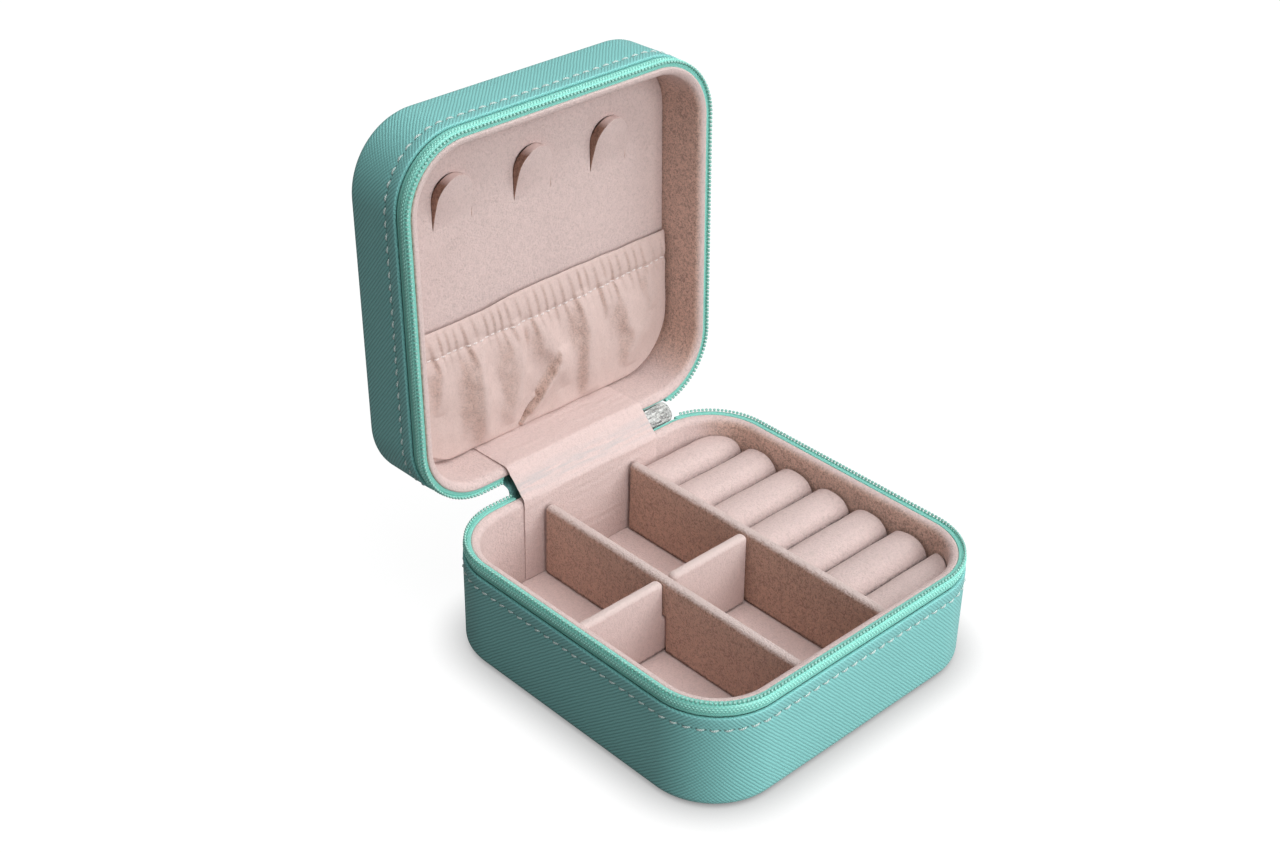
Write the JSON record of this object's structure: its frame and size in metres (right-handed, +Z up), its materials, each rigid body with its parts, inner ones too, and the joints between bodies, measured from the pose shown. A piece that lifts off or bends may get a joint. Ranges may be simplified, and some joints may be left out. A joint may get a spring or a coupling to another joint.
{
  "type": "travel jewelry case",
  "caption": "Square zipped travel jewelry case, hinged lid open, with velvet compartments, ring rolls, necklace hooks and a gathered lid pocket.",
  "frame": {"origin": "centre of the base's underside, on the surface it stands on", "axes": "+Z up, +Y towards the hinge at the back, +X towards the ring rolls; the lid is open at rest"},
  "size_m": [0.1006, 0.1269, 0.1329],
  "materials": {
    "shell_leather": "satin",
    "spine_leather": "satin",
    "core_board": "matte",
    "zip_tape": "matte",
    "zip_coil": "satin",
    "thread": "matte",
    "padding": "matte",
    "lining_velvet": "matte",
    "divider_velvet": "matte",
    "roll_velvet": "matte",
    "pocket_suede": "matte",
    "elastic": "matte",
    "zip_metal": "satin"
  },
  "bodies": {
    "base": {"base_leather_shell": "shell_leather", "base_core_box": "core_board", "base_lining_wall": "lining_velvet", "base_floor_pad": "lining_velvet", "base_zip_tape": "zip_tape", "base_zip_coil": "zip_coil", "base_stitching": "thread", "ring_divider": "divider_velvet", "middle_divider": "divider_velvet", "cross_divider": "divider_velvet", "ring_tray": "padding", "ring_roll_1": "roll_velvet", "ring_roll_2": "roll_velvet", "ring_roll_3": "roll_velvet", "ring_roll_4": "roll_velvet", "ring_roll_5": "roll_velvet", "ring_roll_6": "roll_velvet", "ring_roll_7": "roll_velvet", "hinge_lining_base": "lining_velvet", "hinge_spine_base": "spine_leather"},
    "lid": {"lid_leather_shell": "shell_leather", "lid_core_box": "core_board", "lid_lining_wall": "lining_velvet", "lid_panel": "lining_velvet", "lid_backing": "padding", "lid_zip_tape": "zip_tape", "lid_zip_coil": "zip_coil", "lid_stitching": "thread", "pocket": "pocket_suede", "pocket_elastic": "elastic", "hinge_lining_lid": "lining_velvet", "hinge_spine_lid": "spine_leather"},
    "slider": {"slider_body": "zip_metal", "slider_crown": "zip_metal"},
    "pull_tab": {"pull_tab": "zip_metal"},
    "hook_left": {"hook_tab_left": "lining_velvet"},
    "hook_centre": {"hook_tab_centre": "lining_velvet"},
    "hook_right": {"hook_tab_right": "lining_velvet"}
  },
  "joints": [
    {"name": "lid_hinge", "type": "hinge", "parent": "base", "child": "lid", "pos_m": [0, 0.05166, 0.03126], "axis": [1, 0, 0], "range_deg": [0, 91.4]},
    {"name": "slider_turn", "type": "hinge", "parent": "base", "child": "slider", "pos_m": [0.0291, 0.05166, 0.03126], "axis": [1, 0, 0], "range_deg": [0, 45.8]},
    {"name": "pull_tab_swing", "type": "hinge", "parent": "slider", "child": "pull_tab", "pos_m": [0.0291, 0.05382, 0.02904], "axis": [0, 0.7157, 0.6984], "range_deg": [-80, 80]},
    {"name": "hook_left_flex", "type": "hinge", "parent": "lid", "child": "hook_left", "pos_m": [-0.0257, 0.06836, 0.10253], "axis": [1, 0, 0], "range_deg": [-11, 30], "stiffness_Nm_per_rad": 0.001},
    {"name": "hook_centre_flex", "type": "hinge", "parent": "lid", "child": "hook_centre", "pos_m": [0, 0.06836, 0.10253], "axis": [1, 0, 0], "range_deg": [-11, 30], "stiffness_Nm_per_rad": 0.001},
    {"name": "hook_right_flex", "type": "hinge", "parent": "lid", "child": "hook_right", "pos_m": [0.0257, 0.06836, 0.10253], "axis": [1, 0, 0], "range_deg": [-11, 30], "stiffness_Nm_per_rad": 0.001}
  ],
  "couplings": [
    {"joint": "slider_turn", "follows": "lid_hinge", "ratio": 0.5}
  ]
}
